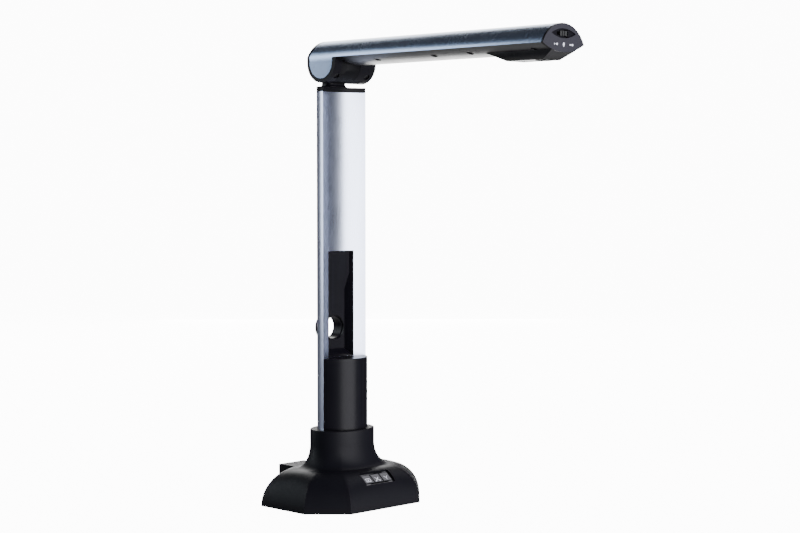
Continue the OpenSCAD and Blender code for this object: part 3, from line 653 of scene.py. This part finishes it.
def screws(name, node, places, head_h, shank, body):
    """One piece that stands for every screw of a set, each turned a little differently."""
    source = screw_mesh(head_h, shank)
    verts = []
    faces = []
    for i, place in enumerate(places):
        start = len(verts)
        turned = place @ Matrix.Rotation(math.radians(37 * i + 11), 4, "Z")
        verts += [turned @ v.co for v in source.vertices]
        faces += [tuple(start + k for k in p.vertices) for p in source.polygons]
    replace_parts(piece(name, verts, faces, BLACK_STEEL, body), node)


def islands(node):
    """Corners (low, high) of each separate solid in a part."""
    mesh = nodes[node].data
    keys = {}
    for v in mesh.vertices:
        keys.setdefault(tuple(round(c, 6) for c in v.co), []).append(v.index)
    group = list(range(len(mesh.vertices)))

    def root(i):
        while group[i] != i:
            group[i] = group[group[i]]
            i = group[i]
        return i

    for same in keys.values():
        for i in same[1:]:
            group[root(i)] = root(same[0])
    for e in mesh.edges:
        a, b = e.vertices
        group[root(a)] = root(b)
    found = {}
    for v in mesh.vertices:
        found.setdefault(root(v.index), []).append(v.co)
    return [
        (
            Vector([min(c[i] for c in co) for i in range(3)]),
            Vector([max(c[i] for c in co) for i in range(3)]),
        )
        for co in found.values()
    ]


SAME_SCREW = 3 * MM


def screw_boxes(node):
    """Boxes of a part's screws: solids whose centres are close in plan are one screw."""
    made = []
    for least, most in islands(node):
        centre = (least + most) / 2
        for group in made:
            if (group[0] - centre).xy.length < SAME_SCREW:
                group[1] = Vector([min(p, q) for p, q in zip(group[1], least)])
                group[2] = Vector([max(p, q) for p, q in zip(group[2], most)])
                break
        else:
            made.append([centre, least, most])
    return [group[1:] for group in made]


def seats_below(node, head_h):
    """Places of screws whose heads face down, a head's height above their lowest points."""
    turned = Matrix.Rotation(math.pi, 4, "X")
    places = []
    for least, most in screw_boxes(node):
        middle = (least + most) / 2
        seat = Matrix.Translation((middle.x, middle.y, least.z + head_h))
        places.append(seat @ turned)
    return places


ARM_HEAD_H = 0.8 * MM
ARM_SHANK = 9 * MM
arm_places = seats_below("arm_screws", ARM_HEAD_H)
screws("arm_screw_set", "arm_screws", arm_places, ARM_HEAD_H, ARM_SHANK, "arm")

# The yoke's screws stand round the hinge, sunk in its barrel
HEAD_H = 1 * MM
YOKE_SHANK = 5 * MM
BARREL_TILT = math.radians(90 + 44)
BARREL_SEAT = 13.7 * MM
tilt = Matrix.Rotation(BARREL_TILT, 4, "X")
yoke_places = []
for least, most in screw_boxes("yoke_screws"):
    axis = Matrix.Translation(((least.x + most.x) / 2, hinge.y, hinge.z))
    yoke_places.append(axis @ tilt @ Matrix.Translation((0, 0, BARREL_SEAT)))
screws("yoke_screw_set", "yoke_screws", yoke_places, HEAD_H, YOKE_SHANK, "arm")

least, most = screw_boxes("base_screws")[0]
base_shank = most.z - least.z - HEAD_H
base_places = seats_below("base_screws", HEAD_H)
screws("base_screw_set", "base_screws", base_places, HEAD_H, base_shank, "root")


# --- flare where the neck meets the cap --------------------------------------

NECK = {"x0": -13 * MM, "x1": 5.2 * MM, "y0": -1.2 * MM, "y1": 10 * MM, "r": 4 * MM}
NECK_FLARE = 2 * MM
CAP_T = 3.8 * MM
cap_top = high("column_extrusion", 2) + CAP_T
FLARE_INSET = 0.4 * MM
FLARE_SINK = 0.2 * MM
FLARE_STEPS = 8
THIN_SHARE = 0.1
THIN_UP_TO = 2 * MM
THIN_FADE = 4 * MM


def neck_outline(grow):
    """The neck's rounded rectangle, grown outwards; each corner is a quarter circle."""
    x0, x1, y0, y1, r = (NECK[k] for k in ("x0", "x1", "y0", "y1", "r"))
    corners = [(x1 - r, y1 - r), (x0 + r, y1 - r), (x0 + r, y0 + r), (x1 - r, y0 + r)]
    points = []
    for quarter, (cx, cy) in enumerate(corners):
        for i in range(FLARE_STEPS + 1):
            a = math.radians(90 * quarter + 90 * i / FLARE_STEPS)
            points.append((cx + (r + grow) * math.cos(a), cy + (r + grow) * math.sin(a)))
    return points


def keep_back(x, y):
    """The folded arm's cover passes close by the neck's right front: the flare is thin there."""
    full = min(max((y - THIN_UP_TO) / THIN_FADE, 0), 1)
    share = THIN_SHARE + (1 - THIN_SHARE) * full
    return NECK["x1"] + (x - NECK["x1"]) * share if x > NECK["x1"] else x


flare_rings = []
for i in range(FLARE_STEPS + 1):
    a = math.pi / 2 * i / FLARE_STEPS
    grow = NECK_FLARE * (1 - math.sin(a))
    z = cap_top + NECK_FLARE * (1 - math.cos(a))
    flare_rings.append([(keep_back(x, y), y, z) for x, y in neck_outline(grow)])
inside = neck_outline(-FLARE_INSET)
flare_rings.append([p + (cap_top + NECK_FLARE,) for p in inside])
flare_rings.append([p + (cap_top - FLARE_SINK,) for p in inside])
flare_rings.append([p[:2] + (cap_top - FLARE_SINK,) for p in flare_rings[0]])
piece(
    "neck_flare",
    [p for ring in flare_rings for p in ring],
    rings_to_faces(len(flare_rings), len(inside), closed=True),
    FINISH["black_trim"],
    "root",
    FLARE_SMOOTH,
)


# --- printed marks -----------------------------------------------------------

PRINT_T = 0.03 * MM


def printed(name, shapes, matrix, body):
    """Thin white print from flat outlines in millimetres, laid where matrix puts it."""
    verts = []
    faces = []
    for outline in shapes:
        n = len(outline)
        start = len(verts)
        for z in (-PRINT_T, PRINT_T):
            verts += [matrix @ Vector((x * MM, y * MM, z)) for x, y in outline]
        faces.append(tuple(range(start, start + n))[::-1])
        faces.append(tuple(range(start + n, start + 2 * n)))
        faces += [
            (start + k, start + (k + 1) % n, start + n + (k + 1) % n, start + n + k)
            for k in range(n)
        ]
    piece(name, verts, faces, PRINT, body, PRINT_SMOOTH)


DISC_STEPS = 20


def disc(x, y, rx, ry):
    turns = [2 * math.pi * k / DISC_STEPS for k in range(DISC_STEPS)]
    return [(x + rx * math.cos(a), y + ry * math.sin(a)) for a in turns]


def bar(x0, y0, x1, y1, width):
    """A straight stroke from one point to another."""
    length = math.hypot(x1 - x0, y1 - y0)
    nx = -(y1 - y0) / length * width / 2
    ny = (x1 - x0) / length * width / 2
    return [(x0 - nx, y0 - ny), (x1 - nx, y1 - ny), (x1 + nx, y1 + ny), (x0 + nx, y0 + ny)]


# Generic lamp marks on the end cap: each keyed by its place across the cap
MARK_UP = 2.6 * MM
facing_front = Matrix.Rotation(math.pi / 2, 4, "X")
lamp_marks = {
    -8: [bar(-1.7, -0.6, -1.7, 0.6, 0.5), bar(-0.9, 0, -0.1, 0, 0.45), disc(1, 0, 0.85, 0.75)],
    0: [disc(0, 0.15, 1.0, 1.15), bar(-0.5, -1.25, 0.5, -1.25, 0.5)],
    8: [bar(-1.9, 0, -0.1, 0, 0.9), disc(1, 0, 0.85, 0.75)],
}
for i, (x, shapes) in enumerate(lamp_marks.items()):
    spot = Matrix.Translation((x * MM, cap_front, hinge.z + MARK_UP)) @ facing_front
    printed(f"lamp_mark_{i + 1}", shapes, spot, "arm")

# Generic marks on the keys, a little below each key's middle
KEY_MARK_DOWN = 0.9 * MM
key_marks = {
    "key_left": [
        bar(-2.1, -1.4, 2.1, -1.4, 0.45),
        bar(-2.1, 1.4, 2.1, 1.4, 0.45),
        bar(-2.1, -1.6, -2.1, 1.6, 0.45),
        bar(2.1, -1.6, 2.1, 1.6, 0.45),
        disc(0, 0, 0.7, 0.7),
    ],
    "key_middle": [
        bar(-1.7, -1.5, 1.7, 1.5, 0.5),
        bar(-1.7, 1.5, 1.7, -1.5, 0.5),
        disc(-1.9, -1.7, 0.55, 0.55),
        disc(1.9, -1.7, 0.55, 0.55),
    ],
    "key_right": [
        bar(-1.6, 1.5, 0, -0.2, 0.5),
        bar(1.6, 1.5, 0, -0.2, 0.5),
        bar(0, -0.2, 0, -1.8, 0.5),
    ],
}
for key, shapes in key_marks.items():
    reach_x = extent(key, panel_x)
    top = extent(key, panel_z)[1]
    middle = sum(extent(key, panel_y)) / 2
    spot = panel_x * (sum(reach_x) / 2) + panel_y * (middle - KEY_MARK_DOWN) + panel_z * top
    place = Matrix.Translation(spot) @ panel.to_3x3().to_4x4()
    printed(f"{key}_mark", shapes, place, key)


# --- floor, light and camera -------------------------------------------------

GLOW = 12.0
FLOOR_HALF = 7.0
BACKDROP_R = 6.5


def glowing(name):
    """Plain pale finish that gives off white light."""
    made = bpy.data.materials.new(name)
    made.use_nodes = True
    shader = made.node_tree.nodes["Principled BSDF"]
    shader.inputs["Base Color"].default_value = (0.9, 0.9, 0.9, 1)
    shader.inputs["Roughness"].default_value = 0.9
    shader.inputs["Specular IOR Level"].default_value = 0.0
    shader.inputs["Emission Color"].default_value = (1, 1, 1, 1)
    shader.inputs["Emission Strength"].default_value = GLOW
    return made


def only_seen(o):
    """The set glows for the camera alone, so it puts no light on the object."""
    o.visible_diffuse = False
    o.visible_glossy = False
    o.visible_transmission = False
    o.visible_volume_scatter = False
    o.visible_shadow = False


floor_mesh = bpy.data.meshes.new("floor")
floor_mesh.from_pydata(
    [
        (-FLOOR_HALF, -FLOOR_HALF, 0),
        (FLOOR_HALF, -FLOOR_HALF, 0),
        (FLOOR_HALF, FLOOR_HALF, 0),
        (-FLOOR_HALF, FLOOR_HALF, 0),
    ],
    [],
    [(0, 1, 2, 3)],
)
floor_mesh.materials.append(glowing("pale_floor"))
floor = bpy.data.objects.new("floor", floor_mesh)
bpy.context.scene.collection.objects.link(floor)
only_seen(floor)

bpy.ops.mesh.primitive_uv_sphere_add(segments=48, ring_count=24, radius=BACKDROP_R)
dome = bpy.context.object
dome.name = "backdrop"
dome.data.materials.append(glowing("pale_backdrop"))
only_seen(dome)

# Where the lights point: a little in front of the column, above the object's middle
AIM = Vector((0, -0.04, 0.2))


def softbox(name, azimuth, elevation, distance, width, height, radiance, colour=(1, 1, 1)):
    """Rectangular soft light facing the object; azimuth 0 is in front and 90 on its right."""
    a = math.radians(azimuth)
    e = math.radians(elevation)
    away = Vector((math.sin(a) * math.cos(e), -math.cos(a) * math.cos(e), math.sin(e)))
    data = bpy.data.lights.new(name, "AREA")
    data.shape = "RECTANGLE"
    data.size = width
    data.size_y = height
    data.color = colour
    data.energy = radiance * math.pi * width * height
    light = bpy.data.objects.new(name, data)
    light.location = AIM + away * distance
    light.rotation_euler = (-away).to_track_quat("-Z", "Y").to_euler()
    light.visible_camera = False
    bpy.context.scene.collection.objects.link(light)


# Name, azimuth, elevation, distance, width, height, radiance, colour
softbox("front_box", 4, 2, 1.7, 1.75, 1.5, 8.0, (0.96, 0.97, 1.0))
softbox("left_back_box", -150, 20, 1.6, 0.5, 1.5, 5.0, (0.86, 0.93, 1.0))
softbox("right_top_box", 90, 47, 1.5, 0.5, 0.9, 2.6, (0.93, 0.92, 1.0))
softbox("far_box", 143, 23, 1.8, 0.9, 0.9, 6.0)
softbox("far_low_box", 137, -11, 1.8, 0.7, 0.6, 7.0)
softbox("floor_bounce", 0, -80, 0.6, 2.4, 2.4, 0.55)

world = bpy.data.worlds.new("studio")
world.use_nodes = True
world.node_tree.nodes["Background"].inputs["Color"].default_value = (0.9, 0.9, 1.0, 1)
world.node_tree.nodes["Background"].inputs["Strength"].default_value = 0.08
bpy.context.scene.world = world

# The photo's view: from the front left, almost level, through a long lens
CAMERA_AT = (-0.9253, -0.9978, 0.2477)
CAMERA_TILT = math.radians(87.16)
CAMERA_TURN = math.radians(-44.72)
camera_data = bpy.data.cameras.new("camera")
camera_data.sensor_width = 36
camera_data.lens = 80.4
camera_data.clip_end = 40
camera = bpy.data.objects.new("camera", camera_data)
camera.location = CAMERA_AT
camera.rotation_euler = (CAMERA_TILT, 0, CAMERA_TURN)
bpy.context.scene.collection.objects.link(camera)
bpy.context.scene.camera = camera
